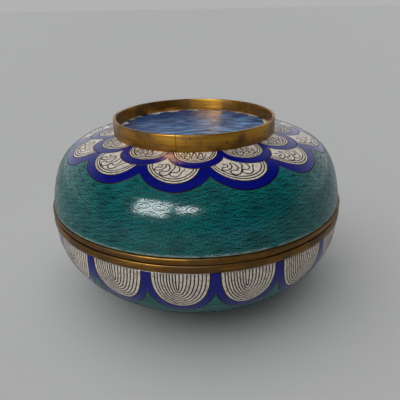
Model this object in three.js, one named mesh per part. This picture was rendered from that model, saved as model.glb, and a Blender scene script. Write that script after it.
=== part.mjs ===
// Round cloisonne enamel box: a low enamelled copper bowl on a brass foot, and a domed
// enamelled lid that lifts off, each edged with a brass band, with a brass crown ring on
// the lid. Millimetres, +Z up, origin in the middle of the foot's underside.
// The lid rests on the bowl. Every piece is turned from one section about the Z axis.

import * as THREE from 'three';

// ---- driving dimensions ----
const BAND_RADIUS = 100;       // outside of the two brass bands that meet at the seam
const SEAM_HEIGHT = 66.5;      // where the lid meets the bowl
const TOTAL_HEIGHT = 124.3;    // top edge of the crown ring

const SOLDER_GAP = 0.3;        // clearance kept between pieces that touch
const WALL = 2.4;              // copper with enamel on both faces
const BAND_WALL = 2.4;         // thickness of the brass bands
const BOWL_BAND = 5.0;         // height of the bowl's band
const LID_BAND = 4.2;          // height of the lid's band
const LIP_RISE = 4.5;          // how far the bowl's inner lip stands up inside the lid
const LIP_WALL = 2.0;
const LIP_CLEARANCE = 0.4;     // between that lip and the lid's band

const FOOT_RADIUS = 50;        // outside of the foot ring
const FOOT_HEIGHT = 5;
const CROWN_RADIUS = 54;       // outside of the crown ring
const RING_WALL = 2;           // thickness of the foot and crown rings
const CROWN_DEPTH = 11;        // height of the crown ring outside
const DISH_DEPTH = 8;          // from the crown ring's edge down to the blue floor
const DISH_CROWN = 0.7;        // rise of that floor towards its middle

const TURN_SEGMENTS = 64;      // facets round the box
const WALL_STEPS = 11;         // facets up a curved wall

// ---- sections ----

const point = (radius, height) => new THREE.Vector2(radius, height);

// A handle of the given length from a point, leaning away from straight up by an angle.
function handle(start, length, lean) {
  return point(start.x + length * Math.sin(lean), start.y + length * Math.cos(lean));
}

// The wall's outer line, and the same line moved inwards by the wall thickness.
function wallLines(curve) {
  const outside = curve.getPoints(WALL_STEPS);
  const inside = outside.map((outer, step) => {
    const along = curve.getTangent(step / WALL_STEPS);
    return point(outer.x - WALL * along.y, outer.y + WALL * along.x);
  });
  return { outside, inside };
}

// The bowl's wall, from the foot out and up to its band: full and nearly upright above.
function bowlCurve() {
  const bottom = point(FOOT_RADIUS, FOOT_HEIGHT + SOLDER_GAP);
  const top = point(BAND_RADIUS - 1.1, SEAM_HEIGHT - BOWL_BAND - SOLDER_GAP);
  return new THREE.CubicBezierCurve(
    bottom,
    handle(bottom, 10, THREE.MathUtils.degToRad(81.4)),
    handle(top, -36.3, THREE.MathUtils.degToRad(-5.7)),
    top,
  );
}

// The lid's wall, from its band up, over the shoulder and in to the crown ring.
function lidCurve() {
  const bottom = point(BAND_RADIUS - 1.1, SEAM_HEIGHT + LID_BAND + SOLDER_GAP);
  const top = point(CROWN_RADIUS - RING_WALL, TOTAL_HEIGHT - CROWN_DEPTH - SOLDER_GAP);
  return new THREE.CubicBezierCurve(
    bottom,
    handle(bottom, 37.2, THREE.MathUtils.degToRad(-6.8)),
    handle(top, 30.1, THREE.MathUtils.degToRad(96.3)),
    top,
  );
}

// ---- turned solids ----

// Revolves a section, listed with the material on its left, about the Z axis.
function turned(name, section, material) {
  const geometry = new THREE.LatheGeometry(section, TURN_SEGMENTS);
  geometry.rotateX(Math.PI / 2);
  const mesh = new THREE.Mesh(geometry, material);
  mesh.name = name;
  return mesh;
}

// A plain ring with a rectangular section.
function ringSection(inner, outer, low, high) {
  return [
    point(inner, low),
    point(outer, low),
    point(outer, high),
    point(inner, high),
    point(inner, low),
  ];
}

// ---- finishes ----

const brass = new THREE.MeshStandardMaterial({ color: 0x8a6430, roughness: 0.38, metalness: 1 });
const enamel = new THREE.MeshStandardMaterial({ color: 0x146a66, roughness: 0.18, metalness: 0 });

// ---- pieces ----

// The bowl: enamelled copper, hollow and open, with a flat underside inside the foot ring.
function bowl() {
  const { outside, inside } = wallLines(bowlCurve());
  const rimHeight = outside.at(-1).y;
  inside.at(-1).y = rimHeight;
  const floorHeight = inside[0].y;
  return turned('base_bowl', [
    point(0, outside[0].y),
    ...outside,
    ...inside.reverse(),
    point(0, floorHeight),
  ], enamel);
}

// The bowl's band, with the lip that stands up inside the lid and keeps it in place.
function bowlBand() {
  const low = SEAM_HEIGHT - BOWL_BAND;
  const seat = SEAM_HEIGHT - SOLDER_GAP / 2;
  const lipOuter = BAND_RADIUS - BAND_WALL - LIP_CLEARANCE;
  const lipInner = lipOuter - LIP_WALL;
  return turned('base_rim', [
    point(lipInner, low),
    point(BAND_RADIUS, low),
    point(BAND_RADIUS, seat),
    point(lipOuter, seat),
    point(lipOuter, seat + LIP_RISE),
    point(lipInner, seat + LIP_RISE),
    point(lipInner, low),
  ], brass);
}

function footRing() {
  const section = ringSection(FOOT_RADIUS - RING_WALL, FOOT_RADIUS, 0, FOOT_HEIGHT);
  return turned('base_foot', section, brass);
}

// The lid: enamelled copper, hollow below, with the blue dish floor inside the crown ring.
function lid() {
  const { outside, inside } = wallLines(lidCurve());
  const edgeHeight = outside[0].y;
  inside[0].y = edgeHeight;
  const dishRadius = CROWN_RADIUS - RING_WALL - LIP_CLEARANCE;
  const dishHeight = TOTAL_HEIGHT - DISH_DEPTH;
  const ceilingHeight = dishHeight - WALL - DISH_CROWN;
  const ceiling = point(dishRadius - 2 * WALL, ceilingHeight);
  return turned('lid_dome', [
    point(0, ceilingHeight),
    ceiling,
    ...inside.reverse(),
    ...outside,
    point(dishRadius, outside.at(-1).y),
    point(dishRadius, dishHeight),
    point(dishRadius / 2, dishHeight + DISH_CROWN * 0.75),
    point(0, dishHeight + DISH_CROWN),
  ], enamel);
}

function lidBand() {
  const low = SEAM_HEIGHT + SOLDER_GAP / 2;
  const section = ringSection(BAND_RADIUS - BAND_WALL, BAND_RADIUS, low, SEAM_HEIGHT + LID_BAND);
  return turned('lid_rim', section, brass);
}

function crownRing() {
  const low = TOTAL_HEIGHT - CROWN_DEPTH;
  const section = ringSection(CROWN_RADIUS - RING_WALL, CROWN_RADIUS, low, TOTAL_HEIGHT);
  return turned('lid_ring', section, brass);
}

const box = new THREE.Group();
box.add(bowl(), bowlBand(), footRing(), lid(), lidBand(), crownRing());

export default box;
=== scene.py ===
"""A cloisonne enamel box: a domed lid on a round bowl, bound in brass, its wires laid as thin strips"""

import collections
import math
import random

import bmesh
import bpy
import numpy as np
from mathutils import Euler, Matrix, Vector


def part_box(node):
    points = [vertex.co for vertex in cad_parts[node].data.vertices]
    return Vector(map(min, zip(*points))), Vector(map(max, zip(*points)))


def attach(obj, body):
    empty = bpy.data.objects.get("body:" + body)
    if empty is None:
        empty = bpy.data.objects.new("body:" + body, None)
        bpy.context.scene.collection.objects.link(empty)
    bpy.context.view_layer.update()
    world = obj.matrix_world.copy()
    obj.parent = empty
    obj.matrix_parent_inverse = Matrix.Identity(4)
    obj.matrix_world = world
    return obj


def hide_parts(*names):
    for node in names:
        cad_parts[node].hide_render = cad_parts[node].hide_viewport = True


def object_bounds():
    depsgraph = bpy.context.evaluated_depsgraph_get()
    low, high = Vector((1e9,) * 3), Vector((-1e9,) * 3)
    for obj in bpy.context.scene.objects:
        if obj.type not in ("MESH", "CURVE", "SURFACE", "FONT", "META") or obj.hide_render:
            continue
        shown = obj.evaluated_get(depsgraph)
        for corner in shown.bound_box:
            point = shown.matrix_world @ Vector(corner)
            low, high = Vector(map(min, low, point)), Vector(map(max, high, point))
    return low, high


bl_info = {
    "name": "Cloisonne Enamel Box",
    "version": (1, 0, 0),
    "blender": (4, 5, 0),
    "location": "View3D > Sidebar > Enamel Box",
    "description": "A round cloisonne box with a domed lid, dressed over its CAD solids",
    "category": "Add Mesh",
}

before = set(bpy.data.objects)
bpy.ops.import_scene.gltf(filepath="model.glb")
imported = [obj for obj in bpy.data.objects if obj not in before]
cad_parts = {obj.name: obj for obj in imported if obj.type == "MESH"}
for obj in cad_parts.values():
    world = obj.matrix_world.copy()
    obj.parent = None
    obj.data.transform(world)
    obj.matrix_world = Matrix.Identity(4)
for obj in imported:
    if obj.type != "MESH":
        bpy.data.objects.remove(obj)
CAD_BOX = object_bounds()
MM = 0.001

BAND_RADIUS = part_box("base_rim")[1].x
BOWL_BAND_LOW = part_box("base_rim")[0].z
LIP_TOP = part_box("base_rim")[1].z
LID_BAND_LOW, LID_BAND_TOP = (corner.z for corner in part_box("lid_rim"))
CROWN_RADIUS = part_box("lid_ring")[1].x
CROWN_LOW, CROWN_TOP = (corner.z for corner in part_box("lid_ring"))
FOOT_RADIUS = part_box("base_foot")[1].x
FOOT_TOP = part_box("base_foot")[1].z
BOWL_LOW, BOWL_TOP = (corner.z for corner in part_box("base_bowl"))
LID_LOW, DISH_MIDDLE = (corner.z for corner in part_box("lid_dome"))
BODY = "root"
FIT_GAP = 0.3 * MM  # left where one piece sits on another

# the handles of each wall's outline, as radius and height in millimetres
LID_HANDLES = ((81.9, 109.7), (94.5, 107.9))
BOWL_HANDLES = ((102.5, 25.1), (59.9, 6.8))
CROWN_FLARE = 0.8 * MM  # how far the lid's outline starts above the foot of the crown ring
CEILING_FROM = 6 * MM  # how far down the lid its curved inside starts
OUTLINE_POINTS = 601
ARC_POINTS = 97
TURN_STEPS = 240
MERGE_DISTANCE = 0.002 * MM
ON_AXIS = 0.01 * MM  # points nearer than this to the axis have no angle of their own
SHARP = math.radians(40)  # edges that turn further than this are rounded
NO_ARC = -1  # marks the points of a shell that aren't on its wall's outside
ARC_IN_MAP = 10  # how much of the map's height a metre of arc takes

# the crown ring and its dish, soldered on slightly out of centre and a little wide
CROWN_SHIFT = -0.5 * MM
CROWN_GROWTH = 1.008
# where the lid's band stands off the bowl's: radians round, how far that spreads, millimetres
SEAM_GAPS = ((-1.05, 0.55, 1.6), (0.95, 0.45, 1.0))
# degrees round at which each ring is joined, and how wide a join is drawn, in turns
JOINS = {"crown_ring": (-32.3, -11.4), "bowl_band": (-15.6,), "lid_band": (141,), "foot_ring": (60,)}
JOIN_WIDTH = 0.0009
PATTERN_SHIFT = 0.21  # metres from one ring's place in the tarnish pattern to the next ring's

FLOOR_HALF = 40.0
ROOM_LIGHT = (0.04, 1.06)  # from the front of the room and from the walls behind and beside
WALL_FADE = (0.45, 1.25)  # how far round to the back and sides that light starts and is full
CEILING_SHADE = -0.6  # how it falls off upwards
BACKDROP = 0.50  # the pale wall all round that shows behind the box
WINDOW_DISTANCE = 1.6
# the panes mirrored in the glaze: name, degrees round from the front towards the right, degrees up,
# width, height, watts
WINDOW_PANES = (
    ("window_left", -34.6, 28.6, 0.64, 0.70, 31),
    ("window_right", -8, 29.5, 0.38, 0.30, 8.6),
)
# the soft light on everything: name, degrees round, degrees up, watts a square metre, spread in degrees
SOFT_LIGHTS = (
    ("overhead", -50, 74, 1.88, 80),
    ("fill", -45, 24, 0.66, 70),
)
CAMERA_LENS = 39.52  # millimetres
CAMERA_BACK, CAMERA_RISE = 2.9627, 1.24255  # band radii before the axis and above the lid's edge
CAMERA_DOWN, CAMERA_YAW, CAMERA_ROLL = 0.415, 0.0084, -0.0183  # radians


def linear(code):
    """The linear colour of an sRGB hex code"""
    shades = [int(code[place:place + 2], 16) / 255 for place in (1, 3, 5)]
    return tuple(c / 12.92 if c <= 0.04045 else ((c + 0.055) / 1.055) ** 2.4 for c in shades)


def colour(name, description, code):
    """A colour that the user can change"""
    return bpy.props.FloatVectorProperty(
        name=name, description=description, default=linear(code), subtype="COLOR", min=0, max=1
    )


def length(name, description, millimetres):
    """A length that the user can change"""
    return bpy.props.FloatProperty(
        name=name, description=description, default=millimetres * MM, unit="LENGTH", precision=5
    )


# ---------------------------------------------------------------- settings


class BoxSizes(bpy.types.PropertyGroup):
    """Thicknesses, edges and wires"""

    wall: length("Wall", "Copper with enamel on both faces", 2.4)
    edge_inset: length("Edge inset", "From the outside of the bands in to the enamel's edge", 1.1)
    band_wall: length("Band wall", "Thickness of the two brass bands", 2.4)
    lip_wall: length("Lip wall", "Thickness of the lip that keys the lid on", 2.0)
    lip_clearance: length("Lip clearance", "Between the lip and the lid's band", 0.4)
    ring_wall: length("Ring wall", "Thickness of the crown and foot rings", 2.0)
    dish_rise: length("Dish rise", "How far the floor in the crown ring rises to its middle", 0.7)
    worn_edge: length("Worn edge", "Radius of the crown and foot rings' edges", 0.35)
    band_edge: length("Band edge", "Radius of the bands' edges", 0.75)
    # the wires are wider than real ones, which would not show
    petal_wire: length("Petal wire", "Width of the wires in the petals", 0.76)
    bowl_wire: length("Bowl wire", "Width of the wires in the bowl's petals", 0.66)
    cloud_wire: length("Cloud wire", "Width of the finer wires in the ground", 0.32)
    wire_crest: length("Wire crest", "How far a wire stands above the polished enamel", 0.035)
    cloud_length: length("Cloud length", "From one cloud scroll to the next along a row", 10.4)
    cloud_row: length("Cloud row", "From one row of cloud scrolls to the next", 4.0)


class BoxColours(bpy.types.PropertyGroup):
    """Enamels and metals"""

    teal: colour("Teal", "Enamel of the ground", "#0f6a69")
    teal_blue: colour("Blue teal", "The ground where it drifts towards blue", "#126b74")
    teal_deep: colour("Deep teal", "The ground where the enamel is thick", "#0d5658")
    cobalt: colour("Cobalt", "Enamel of the petal borders", "#020c7a")
    cobalt_deep: colour("Deep cobalt", "The borders where the enamel is thick", "#020a54")
    white: colour("White", "Enamel of the petals", "#ded3c7")
    white_soiled: colour("Soiled white", "The petals where dirt sits in the pits", "#a89c8e")
    dish: colour("Dish blue", "Enamel of the floor in the crown ring", "#0a3768")
    dish_pale: colour("Pale dish blue", "Streaks where that enamel is thin", "#709ecc")
    worn: colour("Worn edge", "Chipped enamel and old solder flux", "#f0efe8")
    chip: colour("Chipped teal", "Bruised enamel along the lid's lower edge", "#bcd6d4")
    inside: colour("Turquoise", "Counter enamel inside and below", "#1d7f86")
    inside_deep: colour("Deep turquoise", "The same where it lies thick", "#0f5560")
    brass: colour("Brass", "Rubbed brass", "#b08630")
    brass_red: colour("Red brass", "Brass where the copper shows", "#9c6a2e")
    brass_dull: colour("Dull brass", "Tarnish on the brass", "#644620")
    # painted shade: the bands' two colours are a darker copy of the crown ring's brass, partly for the shade
    # and dark reflections low on the box, partly a browner tarnish
    band: colour("Band", "Redder brass of the two bands", "#86622c")
    band_dull_and_shade: colour("Dull band", "Tarnish on the bands", "#513818")
    join: colour("Join", "Soldered joins across a ring", "#74552a")
    solder: colour("Solder", "Dark joins and spots", "#2c2114")
    wire: colour("Wire", "Tarnished copper wire", "#2e241a")
    ground_wire: colour("Ground wire", "The finer wire in the ground, gone dark", "#1c2a27")
    floor: colour("Floor", "The floor that the box stands on", "#bebebc")
    daylight: colour("Daylight", "Light from the windows and the sky", "#fbfdff")
    room: colour("Room", "Light from the walls of the room", "#f2f2f4")


# ---------------------------------------------------------------- drawn pattern, in millimetres and degrees

# an edge's centre down the arc, its half width there, its depth below, and its lean for each unit up
Edge = collections.namedtuple("Edge", "centre half depth lean")


def leaning(edge, arc):
    """How far to the left an edge leans at that arc, none at the tip"""
    return edge.lean * (edge.centre + edge.depth - arc)


class PetalRow:
    """A row of petals round a wall, drawn at one radius, each edge half an ellipse below its centre"""

    def __init__(self, count, first, radius, white, blue):
        self.count = count
        self.pitch = 360 / count
        self.first = first
        self.radius = radius
        self.white = white
        self.blue = blue

    def middles(self):
        """The angle of each petal's middle"""
        return [self.first + self.pitch * index for index in range(self.count)]

    def half_pitch(self):
        """Half the width that a petal has to itself, at the radius it is drawn at"""
        return math.radians(self.pitch / 2) * self.radius

    def reach(self, edge, angle, arc):
        """Below 1 inside that edge of the nearest petal"""
        folded = (angle - self.first + self.pitch / 2) % self.pitch - self.pitch / 2
        across = (np.radians(folded) * self.radius + leaning(edge, arc)) / edge.half
        along = np.maximum(arc - edge.centre, 0) / edge.depth
        return np.hypot(across, along)


LID_OUTER = PetalRow(12, -8.9, 80, Edge(14.2, 18.2, 18.2, 0.16), Edge(12.2, 25.6, 25.6, 0))
LID_INNER = PetalRow(12, 0.0, 66, Edge(-2, 16.1, 16.1, 0), Edge(1, 19, 19, 0))
BOWL_ROW = PetalRow(17, -5.2, 100, Edge(2, 15.7, 23.7, 0), Edge(2, 19.9, 30, 0))
# how far in from the white's edge each wire runs
OUTER_INSETS = (0, 1.65, 3.3)
INNER_INSETS = (0, 1.5, 3.0)
NESTED_FIRST, NESTED_STEP, NESTED_COUNT = 2.1, 1.8, 8
NESTED_LEAN = 0.2  # how far to the left each nested line lies of the one outside it
# the waves in a petal: left, top, width and height of one wave, and how many
OUTER_WAVES = (-7.4, 16.6, 6.6, 11.4, 2)
INNER_WAVES = (-6.0, 2.4, 4.2, 7.4, 3)


class Wall:
    """A turned wall: an outline down which the arc is measured, and the slight sway of hand work"""

    def __init__(self, start, first, second, end, sway):
        along = np.linspace(0, 1, OUTLINE_POINTS)[:, None]
        back = 1 - along
        outline = back**3 * start + 3 * back**2 * along * first
        outline = outline + 3 * back * along**2 * second + along**3 * end
        steps = np.hypot(*np.diff(outline, axis=0).T)
        self.arcs = np.concatenate([[0], np.cumsum(steps)])
        self.outline = outline
        slope = np.gradient(outline, self.arcs, axis=0)
        slope /= np.linalg.norm(slope, axis=1)[:, None]
        self.outward = np.stack([-slope[:, 1], slope[:, 0]], axis=1)
        self.whole = self.arcs[-1]
        self.sway = sway

    def at(self, arc, lift=0.0):
        """Radius and level at that arc, lifted square off the wall"""
        columns = (*self.outline.T, *self.outward.T)
        radius, level, out, up = (np.interp(arc, self.arcs, column) for column in columns)
        return radius + lift * out, level + lift * up

    def radius(self, arc):
        """Radius at that arc"""
        return self.at(arc)[0]

    def place(self, angle, arc, height=0.0):
        """Points at those angles, arcs and heights above the enamel, in metres"""
        swung, slid, swell = self.sway(angle, arc / self.whole)
        arc = arc + slid
        angle = np.radians(angle + swung)
        radius, level = self.at(arc, height + swell)
        return np.stack([radius * np.sin(angle), -radius * np.cos(angle), level], axis=-1)


def waver(angle, *waves):
    """A sum of waves round the box, each given as its size, its number in a turn and its phase"""
    turn = np.radians(angle)
    return sum(size * np.sin(number * turn + phase) for size, number, phase in waves)


def held_at_edges(share):
    """None at a wall's two edges and 1 half way down"""
    return np.sin(np.pi * np.clip(share, 0, 1))


def hump(share, middle, spread):
    """1 at that share of the arc, fading to nothing on both sides"""
    return np.exp(-(((share - middle) / spread) ** 2))


def lid_sway(angle, share):
    """Degrees round, metres down and metres out by which the lid departs from a true turning"""
    held = held_at_edges(share)
    # the tips of the petals lie about 60 % of the way down, and the glaze is banked against the ring
    tips = hump(share, 0.60, 0.15) * held
    swung = waver(angle, (-3.6, 1, 0)) * tips + waver(angle, (0.65, 6, 4.07)) * held
    slid = waver(angle, (0.45, 2, 0.6), (0.3, 5, 0)) * held * MM
    swell = waver(angle, (0.10, 3, 2), (0.06, 7, 9 * share)) * held**2 * MM
    banked = 0.6 * MM * hump(share, 0, 0.05)
    return swung, slid, swell + banked


def bowl_sway(angle, share):
    """The same for the bowl"""
    held = held_at_edges(share)
    swung = waver(angle, (2.4, 1, -0.1)) + waver(angle, (0.4, 7, 0)) * held
    slid = waver(angle, (0.5, 3, 0), (0.35, 5, 2)) * held * MM
    swell = waver(angle, (0.10, 4, 0), (0.05, 9, 7 * share)) * held**2 * MM
    return swung, slid, swell


def lid_wall(sizes):
    """The lid's outside, from the crown ring out and down to its band"""
    crown = np.array([CROWN_RADIUS - sizes.ring_wall, CROWN_LOW + CROWN_FLARE])
    edge = np.array([BAND_RADIUS - sizes.edge_inset, LID_LOW])
    first, second = np.array(LID_HANDLES) * MM
    return Wall(crown, first, second, edge, lid_sway)


def bowl_wall(sizes):
    """The bowl's outside, from its band down and in to the foot ring"""
    edge = np.array([BAND_RADIUS - sizes.edge_inset, BOWL_TOP])
    foot = np.array([FOOT_RADIUS, BOWL_LOW])
    first, second = np.array(BOWL_HANDLES) * MM
    return Wall(edge, first, second, foot, bowl_sway)


# ---------------------------------------------------------------- meshes


def link(name, mesh, stands_for, slot_name, *materials):
    """A finished piece in the scene, riding on the box's one body"""
    for material in materials:
        mesh.materials.append(material)
    piece = bpy.data.objects.new(name, mesh)
    bpy.context.scene.collection.objects.link(piece)
    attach(piece, BODY)
    if stands_for:
        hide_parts(stands_for)


def turn(section, closed):
    """A bmesh turned from a section of (radius, height, arc), whose arc stays on the vertices"""
    bm = bmesh.new()
    arc_layer = bm.verts.layers.float.new("arc")
    line = []
    for radius, height, arc in section:
        vertex = bm.verts.new((0, -radius, height))
        vertex[arc_layer] = arc
        line.append(vertex)
    edges = [bm.edges.new(pair) for pair in zip(line, line[1:])]
    if closed:
        edges.append(bm.edges.new((line[-1], line[0])))
    bmesh.ops.spin(
        bm, geom=line + edges, cent=(0, 0, 0), axis=(0, 0, 1), angle=math.tau, steps=TURN_STEPS,
        use_merge=True,
    )
    bmesh.ops.remove_doubles(bm, verts=bm.verts, dist=MERGE_DISTANCE)
    bmesh.ops.recalc_face_normals(bm, faces=bm.faces)
    return bm, arc_layer


def angle_of(point):
    """Degrees round from the front of the box, towards its right"""
    return math.degrees(math.atan2(point.x, -point.y))


def lay_map(bm, arc_layer):
    """The "wall" UV map: turns round the box, half a turn at the front, and the arc"""
    uv_layer = bm.loops.layers.uv.new("wall")
    for face in bm.faces:
        middle = angle_of(face.calc_center_median())
        for loop in face.loops:
            angle = angle_of(loop.vert.co)
            if loop.vert.co.xy.length < ON_AXIS:
                angle = middle
            angle = middle + (angle - middle + 180) % 360 - 180
            loop[uv_layer].uv = (angle / 360 + 0.5, loop.vert[arc_layer] * ARC_IN_MAP)


def finish_mesh(bm, name):
    """The bmesh as a smooth mesh"""
    mesh = bpy.data.meshes.new(name)
    for face in bm.faces:
        face.smooth = True
    bm.to_mesh(mesh)
    bm.free()
    return mesh


def enamelled_shell(wall, above, below):
    """A shell turned from the points above its outside, the outside itself and the points below it"""
    arcs = np.linspace(0, wall.whole, ARC_POINTS)
    outside = list(zip(*wall.at(arcs), arcs))
    section = [(r, z, NO_ARC) for r, z in above] + outside + [(r, z, NO_ARC) for r, z in below]
    bm, arc_layer = turn(section, closed=False)
    lay_map(bm, arc_layer)
    outer = [v for v in bm.verts if v[arc_layer] > NO_ARC]
    angles = np.array([angle_of(v.co) for v in outer])
    placed = wall.place(angles, np.array([v[arc_layer] for v in outer]))
    for vertex, spot in zip(outer, placed):
        vertex.co = spot
    for face in bm.faces:
        if any(v[arc_layer] == NO_ARC for v in face.verts):
            face.material_index = 1
    return bm


def inner_line(wall, thickness, first, last, steps):
    """The inside of a wall between two arcs, square in from its outside"""
    return list(zip(*wall.at(np.linspace(first, last, steps), -thickness)))


def oblong(inner, outer, low, high):
    """The section of a plain ring"""
    return [(inner, low), (outer, low), (outer, high), (inner, high)]


def rounded_ring(section, edge):
    """A ring turned from its section, with its edges rounded"""
    bm, arc_layer = turn([(r, z, z) for r, z in section], closed=True)
    sharp = [e for e in bm.edges if e.calc_face_angle() > SHARP]
    bmesh.ops.bevel(bm, geom=sharp, offset=edge, segments=3, profile=0.5, affect="EDGES", material=-1)
    lay_map(bm, arc_layer)
    return bm


def floor_line(radius, edge_height, middle_height, steps):
    """A shallow floor or ceiling from its edge in to the axis"""
    shares = np.linspace(0, 1, steps)
    rise = middle_height - edge_height
    return [(radius * (1 - share), edge_height + rise * (1 - (1 - share) ** 2)) for share in shares]


def off_centre(spot):
    """That point of the crown ring or its dish, where the ring was soldered on"""
    return Vector((spot.x * CROWN_GROWTH + CROWN_SHIFT, spot.y * CROWN_GROWTH, spot.z))


def seam_gap(spot):
    """How far the lid's band stands off the bowl's, where the two no longer meet"""
    angle = math.radians(angle_of(spot))
    return sum(gap * hump(angle, middle, spread) for middle, spread, gap in SEAM_GAPS) * MM


# ---------------------------------------------------------------- wires

SHEET_PITCH = 0.08  # between the flat sheets that wires are drawn on
SHEET_MARGIN = 0.005  # of each sheet, left above its top line
SHEETS_ACROSS = 32
WIRE_ROOT = 0.15  # how much of a millimetre a wire reaches down into the enamel
WIRE_LIFT = 0.01 * MM  # keeps a wire's widest line clear of the enamel
TIP_POINTS = 61
SIDE_STEP = 0.8  # millimetres between points down a petal's straight sides
LID_TOP_LINE, BOWL_TOP_LINE = 1.6, 0.4  # where the wires start below the ring or band, in millimetres
OVERLAP = 0.05  # millimetres that a petal's wires run on past the line where the next petal starts
LID_CLOUDS_FROM, BOWL_CLOUDS_FROM = 26, 13  # the arc of the first row of scrolls, in millimetres
CLEAR_OF_PETALS, CLEAR_OF_WAVES = 1.02, 1.03  # how far outside a border scrolls and waves stop, 1 at it
CLEAR_OF_EDGES = (0.8, 0.5)  # millimetres kept free at a wall's top and bottom
SCROLL_FILL = (1.02, 0.98)  # how much of its length and row a scroll takes
SCROLL_LEAN = 6  # degrees that a scroll may lean either way
SCROLL_GROWTH = (0.90, 1.02)
SCROLL_STRAY = (0.5, 0.25)  # millimetres that it may lie off its place, along and across its row


def flowing(points, steps=3):
    """A smooth line through a few points"""
    points = np.array(points, float)
    padded = np.concatenate([[2 * points[0] - points[1]], points, [2 * points[-1] - points[-2]]])
    share = np.linspace(0, 1, steps, endpoint=False)[:, None]
    line = []
    for before, start, end, after in zip(padded, padded[1:], padded[2:], padded[3:]):
        bend = (
            2 * start
            + (end - before) * share
            + (2 * before - 5 * start + 4 * end - after) * share**2
            + (3 * start - before - 3 * end + after) * share**3
        )
        line.extend(bend / 2)
    line.append(points[-1])
    return np.array(line)


def petal_line(edge, inset, top):
    """A petal's edge, inset by some millimetres, from near the wall's top round the tip and back"""
    half, depth = edge.half - inset, edge.depth - inset
    round_tip = np.linspace(-math.pi / 2, math.pi / 2, TIP_POINTS)
    bow = np.stack([half * np.sin(round_tip), edge.centre + depth * np.cos(round_tip)], axis=1)
    if edge.centre > top:
        down = np.arange(top, edge.centre, SIDE_STEP)
        left = np.stack([np.full_like(down, -half), down], axis=1)
        right = np.stack([np.full_like(down, half), down[::-1]], axis=1)
        bow = np.concatenate([left, bow, right])
    bow[:, 0] -= leaning(edge, bow[:, 1])
    return bow[bow[:, 1] >= top]


def kept_runs(line, keep, every):
    """The stretches of a line that are kept, with one point in so many"""
    runs = []
    run = []
    for point, inside in zip(line, keep):
        if inside:
            run.append(point)
        elif run:
            runs.append(run)
            run = []
    if run:
        runs.append(run)
    thinned = [stretch[:-1:every] + [stretch[-1]] for stretch in runs if len(stretch) > 2]
    return [np.array(stretch) for stretch in thinned]


def flat_wires(name, sheets, width):
    """A mesh of wires drawn in millimetres, the lines of each sheet on a square of their own"""
    curve = bpy.data.curves.new(name, "CURVE")
    curve.dimensions = "3D"
    curve.twist_mode = "Z_UP"
    curve.bevel_depth = width / 2
    curve.bevel_resolution = 0
    curve.use_fill_caps = True
    for index, (_, lines) in enumerate(sheets):
        corner = np.array([index % SHEETS_ACROSS, index // SHEETS_ACROSS]) * SHEET_PITCH
        for line in lines:
            spline = curve.splines.new("POLY")
            spline.points.add(len(line) - 1)
            flat = np.zeros((len(line), 4))
            flat[:, :2] = corner + np.array(line) * (MM, -MM)
            flat[:, 3] = 1
            spline.points.foreach_set("co", flat.ravel())
    drawn = bpy.data.objects.new(name + "_drawn", curve)
    bpy.context.scene.collection.objects.link(drawn)
    graph = bpy.context.evaluated_depsgraph_get()
    mesh = bpy.data.meshes.new_from_object(drawn.evaluated_get(graph))
    bpy.data.objects.remove(drawn)
    bpy.data.curves.remove(curve)
    mesh.name = name
    return mesh


def lay_wires(name, wall, sheets, width, crest, material):
    """Wires drawn on flat sheets, one for each (angle, lines), and wrapped onto a wall"""
    mesh = flat_wires(name, sheets, width)
    spots = np.empty(len(mesh.vertices) * 3)
    mesh.vertices.foreach_get("co", spots)
    spots = spots.reshape(-1, 3)
    low_corner = (SHEET_PITCH / 2, SHEET_PITCH - SHEET_MARGIN)
    cells = np.floor((spots[:, :2] + low_corner) / SHEET_PITCH).astype(int)
    across, down = (spots[:, :2] - cells * SHEET_PITCH).T
    angles = np.array([angle for angle, _ in sheets])[cells[:, 0] + SHEETS_ACROSS * cells[:, 1]]
    arc = np.clip(-down, 0, wall.whole)
    angles = angles + np.degrees(across / wall.radius(arc))
    height = spots[:, 2] / (width / 2)
    height = np.where(height > 0, height * crest, height * WIRE_ROOT * MM) + WIRE_LIFT
    mesh.vertices.foreach_set("co", wall.place(angles, arc, height).ravel())
    mesh.shade_smooth()
    mesh.update()
    link(name, mesh, None, "brass", material)


def true_width(line, wall, radius):
    """A line drawn at one radius, as wide as it is where it lies on the wall"""
    line = np.array(line, float)
    line[:, 0] *= wall.radius(line[:, 1] * MM) / MM / radius
    return line


# marks sketched on a square of one unit, across and down
HOOK = [(-0.74, 0.06), (-0.50, 0.03), (-0.28, 0.14), (-0.33, 0.28), (-0.52, 0.30), (-0.68, 0.25),
        (-0.82, 0.34), (-0.90, 0.48), (-0.74, 0.56), (-0.48, 0.54), (-0.18, 0.47), (0.04, 0.33), (0.10, 0.16)]
WAVE = [(0.0, 0.0), (0.22, -0.02), (0.45, 0.14), (0.57, 0.33), (0.50, 0.52), (0.26, 0.61), (0.0, 0.57),
        (-0.20, 0.61), (-0.26, 0.74), (-0.10, 0.86), (0.16, 0.92), (0.48, 0.87), (0.70, 0.71), (0.82, 0.52),
        (1.02, 0.35), (1.04, 0.16)]
CLOUD_RIM = [(0.50, 0.02), (0.33, -0.28), (0.08, -0.46), (-0.20, -0.46), (-0.42, -0.24), (-0.46, 0.08),
             (-0.32, 0.38), (-0.05, 0.47), (0.24, 0.32), (0.50, 0.02)]
CLOUD_HOOK = [(-0.06, -0.44), (0.20, -0.22), (0.24, 0.10), (0.05, 0.29), (-0.20, 0.22), (-0.27, 0.0),
              (-0.15, -0.18), (0.0, -0.12), (0.03, 0.04)]


def breaking_waves(left, top, width, height, count):
    """One wire run through a petal: a hook, then a row of waves that break to the left"""
    points = list(HOOK)
    for wave in range(count):
        points.extend((wave + across, 0.05 * wave + down) for across, down in WAVE)
    return flowing(points) * (width, height) + (left, top)


def outside_petals(rows, margin, angle, arc):
    """Where the petals of those rows are cleared by that margin, 1 at the edge of their borders"""
    clear = np.ones(len(arc), bool)
    for row in rows:
        clear &= row.reach(row.blue, angle, arc) > margin
    return clear


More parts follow.
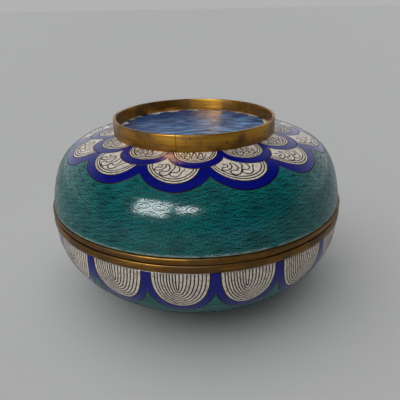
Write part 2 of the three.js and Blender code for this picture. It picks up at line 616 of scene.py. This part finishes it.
def lid_petal_lines(row, insets, waves, covering, middle):
    """The wires of one petal on the lid, cut where the petals that cover it begin"""
    edges = [(row.blue, 0)] + [(row.white, inset) for inset in insets]
    room = row.half_pitch() + OVERLAP
    drawn = [(petal_line(edge, inset, LID_TOP_LINE), room, 1, 2) for edge, inset in edges]
    drawn.append((breaking_waves(*waves), math.inf, CLEAR_OF_WAVES, 1))
    lines = []
    for line, half_width, margin, every in drawn:
        angle = middle + np.degrees(line[:, 0] / row.radius)
        keep = outside_petals(covering, margin, angle, line[:, 1]) & (np.abs(line[:, 0]) < half_width)
        lines.extend(kept_runs(line, keep, every))
    return lines


def lid_petal_sheets(wall):
    """The wires of both rows of petals on the lid"""
    sheets = []
    for row, *details in (
        (LID_OUTER, OUTER_INSETS, OUTER_WAVES, (LID_INNER,)),
        (LID_INNER, INNER_INSETS, INNER_WAVES, ()),
    ):
        for middle in row.middles():
            lines = lid_petal_lines(row, *details, middle)
            sheets.append((middle, [true_width(line, wall, row.radius) for line in lines]))
    return sheets


def bowl_petal_sheets(wall):
    """The wires of the row of petals on the bowl, with the lines nested in each"""
    sheets = []
    for middle in BOWL_ROW.middles():
        outline = petal_line(BOWL_ROW.blue, 0, BOWL_TOP_LINE)
        lines = kept_runs(outline, np.abs(outline[:, 0]) < BOWL_ROW.half_pitch() + OVERLAP, 2)
        lines.append(petal_line(BOWL_ROW.white, 0, BOWL_TOP_LINE)[::2])
        for ring in range(NESTED_COUNT):
            nested = petal_line(BOWL_ROW.white, NESTED_FIRST + NESTED_STEP * ring, BOWL_TOP_LINE)
            lines.append(nested[::2] - (NESTED_LEAN * ring, 0))
        sheets.append((middle, [true_width(line, wall, BOWL_ROW.radius) for line in lines]))
    return sheets


def cloud_sheets(wall, rows, first_arc, sizes, seed):
    """Rows of cloud scrolls on the ground, cut where they meet the petals"""
    chance = random.Random(seed)
    sheets = []
    pitch = sizes.cloud_row / MM
    last_arc = wall.whole / MM - 0.5 * pitch
    count = int((last_arc - first_arc) / pitch) + 1
    long_way, short_way = SCROLL_STRAY
    free_above, free_below = CLEAR_OF_EDGES
    for row in range(count):
        arc = last_arc - row * pitch
        radius = float(wall.radius(arc * MM))
        round_row = round(math.tau * radius / sizes.cloud_length)
        span = math.tau * radius / MM / round_row
        scroll_size = (span * SCROLL_FILL[0], pitch * SCROLL_FILL[1])
        for index in range(round_row):
            angle = (index + 0.5 * (row % 2)) * 360 / round_row
            lean = math.radians(chance.uniform(-SCROLL_LEAN, SCROLL_LEAN))
            grow = chance.uniform(*SCROLL_GROWTH)
            along = chance.uniform(-long_way, long_way)
            shift = np.array([along, arc + chance.uniform(-short_way, short_way)])
            spin = np.array([[math.cos(lean), -math.sin(lean)], [math.sin(lean), math.cos(lean)]])
            lines = []
            for mark in (CLOUD_RIM, CLOUD_HOOK):
                line = flowing(mark, steps=2) * scroll_size * grow
                line = line @ spin.T + shift
                angles = angle + np.degrees(line[:, 0] * MM / radius)
                keep = (line[:, 1] > free_above) & (line[:, 1] < wall.whole / MM - free_below)
                keep &= outside_petals(rows, CLEAR_OF_PETALS, angles, line[:, 1])
                lines.extend(kept_runs(line, keep, 1))
            if lines:
                sheets.append((angle, lines))
    return sheets


# ---------------------------------------------------------------- materials

# blotches of about that size in millimetres, the noise's detail, and where it starts and is full
Mottle = collections.namedtuple("Mottle", "size detail low high")
THICK_GLAZE = Mottle(9, 4, 0.35, 0.70)
DRIFTING_GLAZE = Mottle(26, 3, 0.52, 0.74)
PITTED_GLAZE = Mottle(1.6, 3, 0.40, 0.75)  # coarser than real pits, which would not show
BRUISED_EDGE = Mottle(9, 5, 0.36, 0.50)
COUNTER_GLAZE = Mottle(7, 5, 0.4, 0.7)
DISH_STREAKS = Mottle(13, 6, 0.38, 0.68)
DISH_CHIPS = Mottle(8, 6, 0.76, 0.80)
TARNISH = Mottle(15, 5, 0.40, 0.64)
RUBBED_STREAKS = Mottle(22, 5, 0.34, 0.62)
SOLDER_SPOTS = Mottle(3.5, 2, 0.68, 0.74)
BRUISED_ARCS = (70.4, 73.0)  # millimetres down the lid, where the bruised edge starts and is full
STREAK_DRAW = (1, 3.2, 1)  # draws the dish's streaks out sideways
RUB_DRAW = (1, 1, 22)  # draws the brass's streaks out round the ring
DISH_PAINTED_SHADE_WAY = (-0.5, 1.0, 0)  # towards the back and left, where the dish is darkest with painted shade
# how far that way the painted shade is darkest, how far it is lightest, and the share of the streaks left at
# its darkest
DISH_PAINTED_SHADE = (40 * MM, -15 * MM, 0.2)
DISH_EDGE = (6 * MM, 0.42)  # how wide the chipped edge is, and how much likelier a chip is at the rim
# lumps of about that size in millimetres, the noise's detail, its strength and height in millimetres
Relief = collections.namedtuple("Relief", "size detail strength height")
GLAZE_RELIEF = Relief(2.5, 4, 0.30, 0.15)
DISH_RIPPLES = Relief(7, 3, 0.7, 1.2)
RUB_SCRATCHES = Relief(5, 4, 0.12, 0.08)
BRASS_ROUGHNESS, BAND_ROUGHNESS = 0.29, 0.38
TARNISH_ROUGHNESS, TARNISH_METAL = 0.48, 0.75
PETAL_WIRE_ROUGHNESS, GROUND_WIRE_ROUGHNESS = 0.45, 0.3


def add(tree, kind, inputs=(), **settings):
    """A node with its settings, and its inputs set to values or linked from sockets"""
    node = tree.nodes.new(kind)
    for name, value in settings.items():
        setattr(node, name, value)
    for socket, value in dict(inputs).items():
        if isinstance(value, bpy.types.NodeSocket):
            tree.links.new(value, node.inputs[socket])
        else:
            node.inputs[socket].default_value = value
    return node


def new_material(name):
    """An empty material with its shader, ready for links"""
    material = bpy.data.materials.new(name)
    material.use_nodes = True
    return material, material.node_tree, material.node_tree.nodes["Principled BSDF"]


def opaque(shade):
    """A colour property with its alpha, or a socket as it is"""
    return shade if isinstance(shade, bpy.types.NodeSocket) else (*shade, 1.0)


def coats(tree, shade, *later):
    """A colour with further coats laid over it, each given as its mask and its colour"""
    # a colour mix takes its two colours at 6 and 7 and gives its result at 2
    for mask, coat in later:
        mixed = {0: mask, 6: opaque(shade), 7: opaque(coat)}
        shade = add(tree, "ShaderNodeMix", mixed, data_type="RGBA").outputs[2]
    return shade


def grain(place, kind):
    """The noise settings of a mottle or a relief"""
    return {"Vector": place, "Scale": 1 / (kind.size * MM), "Detail": kind.detail}


def blotches(tree, place, mottle):
    """A soft mask of blotches"""
    spread = add(tree, "ShaderNodeTexNoise", grain(place, mottle)).outputs["Fac"]
    cut = {"Value": spread, "From Min": mottle.low, "From Max": mottle.high}
    return add(tree, "ShaderNodeMapRange", cut, interpolation_type="SMOOTHSTEP").outputs["Result"]


def uneven(tree, shader, place, relief):
    """Gives a surface its relief"""
    lumps = add(tree, "ShaderNodeTexNoise", grain(place, relief)).outputs["Fac"]
    raised = {"Height": lumps, "Strength": relief.strength, "Distance": relief.height * MM}
    tree.links.new(add(tree, "ShaderNodeBump", raised).outputs[0], shader.inputs["Normal"])


def petal_mask(tree, row, edge, angle, arc):
    """1 inside that edge of a row of petals"""
    shifted = add(tree, "ShaderNodeMath", {0: angle, 1: row.first}, operation="SUBTRACT").outputs[0]
    turned = {0: shifted, 1: row.pitch / 2, 2: -row.pitch / 2}
    folded = add(tree, "ShaderNodeMath", turned, operation="WRAP").outputs[0]
    tipped = {0: arc, 1: -edge.lean / edge.half, 2: leaning(edge, 0) / edge.half}
    leant = add(tree, "ShaderNodeMath", tipped, operation="MULTIPLY_ADD").outputs[0]
    scaled = {0: folded, 1: math.radians(1) * row.radius / edge.half, 2: leant}
    across = add(tree, "ShaderNodeMath", scaled, operation="MULTIPLY_ADD").outputs[0]
    below = add(tree, "ShaderNodeMath", {0: arc, 1: edge.centre}, operation="SUBTRACT").outputs[0]
    lower = add(tree, "ShaderNodeMath", {0: below, 1: 0.0}, operation="MAXIMUM").outputs[0]
    along = add(tree, "ShaderNodeMath", {0: lower, 1: edge.depth}, operation="DIVIDE").outputs[0]
    spot = add(tree, "ShaderNodeCombineXYZ", {"X": across, "Y": along}).outputs[0]
    reach = add(tree, "ShaderNodeVectorMath", {0: spot}, operation="LENGTH").outputs["Value"]
    return add(tree, "ShaderNodeMath", {0: reach, 1: 1.0}, operation="LESS_THAN").outputs[0]


def patterned_enamel(name, rows, colours, bruised):
    """Polished glass enamel, fired on copper and ground flush: glossy, pitted, with hard colour edges"""
    material, tree, shader = new_material(name)
    place = add(tree, "ShaderNodeTexCoord").outputs["Object"]
    wall = add(tree, "ShaderNodeUVMap", uv_map="wall").outputs["UV"]
    parts = add(tree, "ShaderNodeSeparateXYZ", {"Vector": wall}).outputs
    turned = add(tree, "ShaderNodeMath", {0: parts["X"], 1: 360.0, 2: -180.0}, operation="MULTIPLY_ADD")
    angle = turned.outputs[0]
    unrolled = {0: parts["Y"], 1: 1 / (ARC_IN_MAP * MM)}
    arc = add(tree, "ShaderNodeMath", unrolled, operation="MULTIPLY").outputs[0]
    thick = blotches(tree, place, THICK_GLAZE)
    fine = blotches(tree, place, PITTED_GLAZE)
    drifting = blotches(tree, place, DRIFTING_GLAZE)
    blue = coats(tree, colours.cobalt, (fine, colours.cobalt_deep))
    white = coats(tree, colours.white, (fine, colours.white_soiled))
    layers = [(drifting, colours.teal_blue), (thick, colours.teal_deep)]
    for row in rows:
        layers.append((petal_mask(tree, row, row.blue, angle, arc), blue))
        layers.append((petal_mask(tree, row, row.white, angle, arc), white))
    if bruised:
        start, full = BRUISED_ARCS
        rise = {"Value": arc, "From Min": start, "From Max": full}
        near = add(tree, "ShaderNodeMapRange", rise).outputs["Result"]
        patchy = blotches(tree, place, BRUISED_EDGE)
        chipped = add(tree, "ShaderNodeMath", {0: near, 1: patchy}, operation="MULTIPLY").outputs[0]
        layers.append((chipped, colours.chip))
    tree.links.new(coats(tree, colours.teal, *layers), shader.inputs["Base Color"])
    gloss = {"Value": fine, "To Min": 0.12, "To Max": 0.24}
    rough = add(tree, "ShaderNodeMapRange", gloss).outputs["Result"]
    tree.links.new(rough, shader.inputs["Roughness"])
    shader.inputs["IOR"].default_value = 1.36
    uneven(tree, shader, place, GLAZE_RELIEF)
    return material


def counter_enamel(name, colours):
    """Counter enamel, fired once and left unpolished: one colour, mottled, less glossy than the outside"""
    material, tree, shader = new_material(name)
    place = add(tree, "ShaderNodeTexCoord").outputs["Object"]
    shade = coats(tree, colours.inside, (blotches(tree, place, COUNTER_GLAZE), colours.inside_deep))
    tree.links.new(shade, shader.inputs["Base Color"])
    shader.inputs["Roughness"].default_value = 0.28
    shader.inputs["IOR"].default_value = 1.58
    return material


def dish_enamel(name, colours, radius):
    """Thin blue enamel flooded into a dish: streaked, rippled, chipped white where it meets the brass, with
    painted shade darkening it towards the back and left
    """
    material, tree, shader = new_material(name)
    place = add(tree, "ShaderNodeTexCoord").outputs["Object"]
    drawn = add(tree, "ShaderNodeMapping", {"Vector": place, "Scale": STREAK_DRAW}).outputs[0]
    streaks = blotches(tree, drawn, DISH_STREAKS)
    # painted shade: the pale streaks fade out towards the back and left, so the dish is darker there
    way = add(tree, "ShaderNodeVectorMath", {0: place, 1: DISH_PAINTED_SHADE_WAY}, operation="DOT_PRODUCT")
    darkest_painted, lightest_painted, streaks_in_painted_shade = DISH_PAINTED_SHADE
    painted_shade_fade = {"Value": way.outputs["Value"], "From Min": darkest_painted, "From Max": lightest_painted, "To Min": streaks_in_painted_shade}
    unshaded_share = add(tree, "ShaderNodeMapRange", painted_shade_fade).outputs["Result"]
    streaks = add(tree, "ShaderNodeMath", {0: streaks, 1: unshaded_share}, operation="MULTIPLY").outputs[0]
    flat = add(tree, "ShaderNodeVectorMath", {0: place, 1: (1, 1, 0)}, operation="MULTIPLY").outputs[0]
    out = add(tree, "ShaderNodeVectorMath", {0: flat}, operation="LENGTH").outputs["Value"]
    edge_width, edge_chance = DISH_EDGE
    edge = {"Value": out, "From Min": radius - edge_width, "From Max": radius, "To Max": edge_chance}
    near = add(tree, "ShaderNodeMapRange", edge).outputs["Result"]
    ragged = add(tree, "ShaderNodeTexNoise", grain(place, DISH_CHIPS)).outputs["Fac"]
    summed = add(tree, "ShaderNodeMath", {0: near, 1: ragged}, operation="ADD").outputs[0]
    cut = {"Value": summed, "From Min": DISH_CHIPS.low, "From Max": DISH_CHIPS.high}
    chipped = add(tree, "ShaderNodeMapRange", cut).outputs["Result"]
    shade = coats(tree, colours.dish, (streaks, colours.dish_pale), (chipped, colours.worn))
    tree.links.new(shade, shader.inputs["Base Color"])
    shader.inputs["Roughness"].default_value = 0.14
    shader.inputs["IOR"].default_value = 1.28
    uneven(tree, shader, drawn, DISH_RIPPLES)
    return material


def turned_brass(name, shades, roughness, colours, joins, start):
    """Sheet brass, soldered and rubbed by hand: warm, tarnished brown in blotches, dark at its joins"""
    material, tree, shader = new_material(name)
    place = add(tree, "ShaderNodeTexCoord").outputs["Object"]
    place = add(tree, "ShaderNodeMapping", {"Vector": place, "Location": (start, 0, 0)}).outputs[0]
    along = add(tree, "ShaderNodeMapping", {"Vector": place, "Scale": RUB_DRAW}).outputs[0]
    tarnish = blotches(tree, place, TARNISH)
    rubbed = blotches(tree, along, RUBBED_STREAKS)
    spots = blotches(tree, place, SOLDER_SPOTS)
    bright, red, dull = shades
    shade = coats(tree, bright, (rubbed, red), (tarnish, dull), (spots, colours.solder))
    wall = add(tree, "ShaderNodeUVMap", uv_map="wall").outputs["UV"]
    turned = add(tree, "ShaderNodeSeparateXYZ", {"Vector": wall}).outputs["X"]
    for join in joins:
        close = {0: turned, 1: join / 360 + 0.5, 2: JOIN_WIDTH}
        line = add(tree, "ShaderNodeMath", close, operation="COMPARE").outputs[0]
        shade = coats(tree, shade, (line, colours.join))
    tree.links.new(shade, shader.inputs["Base Color"])
    film = add(tree, "ShaderNodeMapRange", {"Value": tarnish, "To Min": 1.0, "To Max": TARNISH_METAL})
    tree.links.new(film.outputs["Result"], shader.inputs["Metallic"])
    dulled = {"Value": tarnish, "To Min": roughness, "To Max": TARNISH_ROUGHNESS}
    tree.links.new(add(tree, "ShaderNodeMapRange", dulled).outputs["Result"], shader.inputs["Roughness"])
    uneven(tree, shader, along, RUB_SCRATCHES)
    return material


def flush_wire(name, shade, roughness):
    """Flattened copper wire ground flush with the enamel: dark except where it catches the light"""
    material, _, shader = new_material(name)
    shader.inputs["Base Color"].default_value = opaque(shade)
    shader.inputs["Metallic"].default_value = 1.0
    shader.inputs["Roughness"].default_value = roughness
    return material


def painted_floor(name, colours):
    """Matt paint on board"""
    material, _, shader = new_material(name)
    shader.inputs["Base Color"].default_value = opaque(colours.floor)
    shader.inputs["Roughness"].default_value = 0.75
    return material


def shared(name, make, *details):
    """That material, made the first time it is asked for"""
    return bpy.data.materials.get(name) or make(name, *details)


# ---------------------------------------------------------------- operators


class CLOISONNE_OT_lid_shell(bpy.types.Operator):
    """The domed lid in patterned enamel, with the blue floor in its crown"""

    bl_idname = "cloisonne.lid_shell"
    bl_label = "Lid Shell"

    def execute(self, context):
        sizes, colours = context.scene.box_sizes, context.scene.box_colours
        wall = lid_wall(sizes)
        dish_radius = CROWN_RADIUS - sizes.ring_wall - sizes.lip_clearance
        dish_edge = DISH_MIDDLE - sizes.dish_rise
        ceiling = dish_edge - sizes.wall - sizes.dish_rise
        seat = CROWN_LOW - FIT_GAP
        dish = floor_line(dish_radius, dish_edge, DISH_MIDDLE, steps=12)[::-1]
        inside = inner_line(wall, sizes.wall, first=CEILING_FROM, last=wall.whole, steps=40)[::-1]
        under = floor_line(dish_radius - 2 * sizes.wall, ceiling, ceiling, steps=8)
        bm = enamelled_shell(wall, dish + [(dish_radius, seat)], inside + under)
        # of the faces off the outside, those above the ring's seat are the dish
        for face in bm.faces:
            if face.material_index == 1 and face.calc_center_median().z > seat + 0.5 * sizes.dish_rise:
                face.material_index = 2
        for vertex in bm.verts:
            if vertex.co.z > dish_edge - sizes.dish_rise and vertex.co.xy.length < dish_radius + FIT_GAP:
                vertex.co = off_centre(vertex.co)
        link(
            "lid_shell", finish_mesh(bm, "lid_shell"), "lid_dome", "enamel",
            shared("polished cloisonne enamel, lid", patterned_enamel, (LID_OUTER, LID_INNER), colours, True),
            shared("turquoise counter enamel", counter_enamel, colours),
            shared("streaked blue dish enamel", dish_enamel, colours, dish_radius),
        )
        return {"FINISHED"}


class CLOISONNE_OT_bowl_shell(bpy.types.Operator):
    """The round bowl in patterned enamel, turquoise inside and under its foot"""

    bl_idname = "cloisonne.bowl_shell"
    bl_label = "Bowl Shell"

    def execute(self, context):
        sizes, colours = context.scene.box_sizes, context.scene.box_colours
        wall = bowl_wall(sizes)
        inside = inner_line(wall, sizes.wall, first=0, last=wall.whole, steps=60)[::-1]
        floor_radius, floor_level = inside[0]
        inner_floor = floor_line(floor_radius, floor_level, floor_level, steps=10)[::-1]
        under = floor_line(FOOT_RADIUS, BOWL_LOW, BOWL_LOW, steps=10)[1:]
        bm = enamelled_shell(wall, inner_floor[:-1] + inside, under)
        link(
            "bowl_shell", finish_mesh(bm, "bowl_shell"), "base_bowl", "enamel",
            shared("polished cloisonne enamel, bowl", patterned_enamel, (BOWL_ROW,), colours, False),
            shared("turquoise counter enamel", counter_enamel, colours),
        )
        return {"FINISHED"}


class CLOISONNE_OT_brass_rings(bpy.types.Operator):
    """The bands that meet at the seam, the crown ring and the foot ring"""

    bl_idname = "cloisonne.brass_rings"
    bl_label = "Brass Rings"

    def execute(self, context):
        sizes, colours = context.scene.box_sizes, context.scene.box_colours
        band_inner = BAND_RADIUS - sizes.band_wall
        lip_outer = band_inner - sizes.lip_clearance
        lip_inner = lip_outer - sizes.lip_wall
        seam = LID_BAND_LOW - FIT_GAP
        stepped = [
            (lip_inner, BOWL_BAND_LOW), (BAND_RADIUS, BOWL_BAND_LOW), (BAND_RADIUS, seam),
            (lip_outer, seam), (lip_outer, LIP_TOP), (lip_inner, LIP_TOP),
        ]
        crown = oblong(CROWN_RADIUS - sizes.ring_wall, CROWN_RADIUS, CROWN_LOW, CROWN_TOP)
        rings = (
            ("bowl_band", "base_rim", stepped),
            ("lid_band", "lid_rim", oblong(band_inner, BAND_RADIUS, LID_BAND_LOW, LID_BAND_TOP)),
            ("crown_ring", "lid_ring", crown),
            ("foot_ring", "base_foot", oblong(FOOT_RADIUS - sizes.ring_wall, FOOT_RADIUS, 0, FOOT_TOP)),
        )
        yellow = (colours.brass, colours.brass_red, colours.brass_dull)
        # painted shade, partly: the bands take darker colours than the crown and foot rings, besides their
        # browner tarnish
        browner_and_shaded = (colours.band, colours.brass_dull, colours.band_dull_and_shade)
        for place, (name, node, section) in enumerate(rings):
            if "band" in name:
                edge, shades, roughness = sizes.band_edge, browner_and_shaded, BAND_ROUGHNESS
            else:
                edge, shades, roughness = sizes.worn_edge, yellow, BRASS_ROUGHNESS
            bm = rounded_ring(section, edge)
            for vertex in bm.verts:
                if name == "crown_ring":
                    vertex.co = off_centre(vertex.co)
                if name == "lid_band" and vertex.co.z < 0.5 * (LID_BAND_LOW + LID_BAND_TOP):
                    vertex.co.z += seam_gap(vertex.co)
            details = (shades, roughness, colours, JOINS[name], place * PATTERN_SHIFT)
            brass = shared("rubbed brass, " + name, turned_brass, *details)
            link(name, finish_mesh(bm, name), node, "brass", brass)
        return {"FINISHED"}


class CLOISONNE_OT_petal_wires(bpy.types.Operator):
    """The wires that edge and fill the petals"""

    bl_idname = "cloisonne.petal_wires"
    bl_label = "Petal Wires"

    def execute(self, context):
        sizes, colours = context.scene.box_sizes, context.scene.box_colours
        wire = shared("tarnished copper wire", flush_wire, colours.wire, PETAL_WIRE_ROUGHNESS)
        lid, bowl = lid_wall(sizes), bowl_wall(sizes)
        on_lid, on_bowl = lid_petal_sheets(lid), bowl_petal_sheets(bowl)
        lay_wires("lid_petal_wires", lid, on_lid, sizes.petal_wire, sizes.wire_crest, wire)
        lay_wires("bowl_petal_wires", bowl, on_bowl, sizes.bowl_wire, sizes.wire_crest, wire)
        return {"FINISHED"}


class CLOISONNE_OT_cloud_wires(bpy.types.Operator):
    """The cloud scrolls in the teal ground"""

    bl_idname = "cloisonne.cloud_wires"
    bl_label = "Cloud Wires"

    def execute(self, context):
        sizes, colours = context.scene.box_sizes, context.scene.box_colours
        wire = shared("rubbed copper wire", flush_wire, colours.ground_wire, GROUND_WIRE_ROUGHNESS)
        lid, bowl = lid_wall(sizes), bowl_wall(sizes)
        on_lid = cloud_sheets(lid, (LID_OUTER, LID_INNER), LID_CLOUDS_FROM, sizes, seed=4)
        on_bowl = cloud_sheets(bowl, (BOWL_ROW,), BOWL_CLOUDS_FROM, sizes, seed=9)
        lay_wires("lid_cloud_wires", lid, on_lid, sizes.cloud_wire, sizes.wire_crest, wire)
        lay_wires("bowl_cloud_wires", bowl, on_bowl, sizes.cloud_wire, sizes.wire_crest, wire)
        return {"FINISHED"}


def hang(scene, light, middle, azimuth, elevation):
    """A light hung round the box at those angles and turned to it"""
    light.color = scene.box_colours.daylight
    lamp = bpy.data.objects.new(light.name, light)
    scene.collection.objects.link(lamp)
    turned, raised = math.radians(azimuth), math.radians(elevation)
    flat = math.cos(raised)
    away = Vector((math.sin(turned) * flat, -math.cos(turned) * flat, math.sin(raised)))
    lamp.location = middle + away * WINDOW_DISTANCE
    lamp.rotation_euler = away.to_track_quat("Z", "Y").to_euler()
    return lamp


def lay_floor(scene):
    """The floor that the box stands on"""
    bm = bmesh.new()
    bmesh.ops.create_grid(bm, x_segments=1, y_segments=1, size=FLOOR_HALF)
    mesh = bpy.data.meshes.new("floor")
    bm.to_mesh(mesh)
    bm.free()
    mesh.materials.append(shared("matt painted floor", painted_floor, scene.box_colours))
    floor = bpy.data.objects.new("floor", mesh)
    scene.collection.objects.link(floor)


def hang_lights(scene):
    """Two window panes that show in the glaze alone, and soft light that doesn't show in it"""
    middle = Vector((0, 0, 0.5 * CAD_BOX[1].z))
    for name, azimuth, elevation, wide, tall, power in WINDOW_PANES:
        light = bpy.data.lights.new(name, "AREA")
        light.shape = "RECTANGLE"
        light.size = wide
        light.size_y = tall
        light.energy = power
        pane = hang(scene, light, middle, azimuth, elevation)
        pane.visible_diffuse = False
    for name, azimuth, elevation, strength, spread in SOFT_LIGHTS:
        light = bpy.data.lights.new(name, "SUN")
        light.energy = strength
        light.angle = math.radians(spread)
        soft = hang(scene, light, middle, azimuth, elevation)
        soft.visible_glossy = False


def light_room(scene):
    """Light from the room, mostly from behind and beside, and a plain wall behind the box"""
    world = bpy.data.worlds.new("room light")
    world.use_nodes = True
    tree = world.node_tree
    back = tree.nodes["Background"]
    back.inputs["Color"].default_value = opaque(scene.box_colours.room)
    facing = add(tree, "ShaderNodeTexCoord").outputs["Generated"]
    ways = add(tree, "ShaderNodeSeparateXYZ", {"Vector": facing}).outputs
    aside = add(tree, "ShaderNodeMath", {0: ways["X"]}, operation="ABSOLUTE").outputs[0]
    wall = add(tree, "ShaderNodeMath", {0: aside, 1: ways["Y"]}, operation="ADD").outputs[0]
    lowered = {0: ways["Z"], 1: CEILING_SHADE, 2: wall}
    wall = add(tree, "ShaderNodeMath", lowered, operation="MULTIPLY_ADD").outputs[0]
    dark, bright = ROOM_LIGHT
    start, full = WALL_FADE
    fade = {"Value": wall, "From Min": start, "From Max": full, "To Min": dark, "To Max": bright}
    glow = add(tree, "ShaderNodeMapRange", fade, interpolation_type="SMOOTHSTEP").outputs["Result"]
    seen = add(tree, "ShaderNodeLightPath").outputs["Is Camera Ray"]
    shown = add(tree, "ShaderNodeMix", {0: seen, 2: glow, 3: BACKDROP}, data_type="FLOAT").outputs[0]
    tree.links.new(shown, back.inputs["Strength"])
    scene.world = world


def set_camera(scene):
    """The camera in front of the box, looking down at it"""
    camera = bpy.data.cameras.new("camera")
    camera.sensor_width = 36
    camera.lens = CAMERA_LENS
    camera.clip_start = 0.01
    holder = bpy.data.objects.new("camera", camera)
    scene.collection.objects.link(holder)
    spot = Vector((0, -CAMERA_BACK * BAND_RADIUS, LID_BAND_LOW + CAMERA_RISE * BAND_RADIUS))
    aim = Euler((math.pi / 2 - CAMERA_DOWN, 0, -CAMERA_YAW)).to_matrix().to_4x4()
    holder.matrix_world = Matrix.Translation(spot) @ aim @ Matrix.Rotation(CAMERA_ROLL, 4, "Z")
    scene.camera = holder


class CLOISONNE_OT_stage(bpy.types.Operator):
    """Floor, window panes, soft light and the camera"""

    bl_idname = "cloisonne.stage"
    bl_label = "Stage"

    def execute(self, context):
        scene = context.scene
        lay_floor(scene)
        hang_lights(scene)
        light_room(scene)
        set_camera(scene)
        scene.view_settings.view_transform = "Standard"
        return {"FINISHED"}


class CLOISONNE_PT_box(bpy.types.Panel):
    """Builds the enamel box piece by piece"""

    bl_idname = "CLOISONNE_PT_box"
    bl_label = "Enamel Box"
    bl_space_type = "VIEW_3D"
    bl_region_type = "UI"
    bl_category = "Enamel Box"

    def draw(self, context):
        for operator in OPERATORS:
            self.layout.operator(operator.bl_idname)
        for settings in (context.scene.box_sizes, context.scene.box_colours):
            column = self.layout.column()
            for name in settings.__annotations__:
                column.prop(settings, name)


OPERATORS = (
    CLOISONNE_OT_lid_shell,
    CLOISONNE_OT_bowl_shell,
    CLOISONNE_OT_brass_rings,
    CLOISONNE_OT_petal_wires,
    CLOISONNE_OT_cloud_wires,
    CLOISONNE_OT_stage,
)
CLASSES = (BoxSizes, BoxColours, *OPERATORS, CLOISONNE_PT_box)


def register():
    """Adds the settings, the operators and the panel"""
    for entry in CLASSES:
        bpy.utils.register_class(entry)
    bpy.types.Scene.box_sizes = bpy.props.PointerProperty(type=BoxSizes)
    bpy.types.Scene.box_colours = bpy.props.PointerProperty(type=BoxColours)


def unregister():
    """Takes them away again"""
    del bpy.types.Scene.box_colours
    del bpy.types.Scene.box_sizes
    for entry in reversed(CLASSES):
        bpy.utils.unregister_class(entry)


def main():
    """Builds every piece and the stage"""
    register()
    bpy.ops.cloisonne.lid_shell()
    bpy.ops.cloisonne.bowl_shell()
    bpy.ops.cloisonne.brass_rings()
    bpy.ops.cloisonne.petal_wires()
    bpy.ops.cloisonne.cloud_wires()
    bpy.ops.cloisonne.stage()
    bpy.context.view_layer.update()


if __name__ == "__main__":
    main()
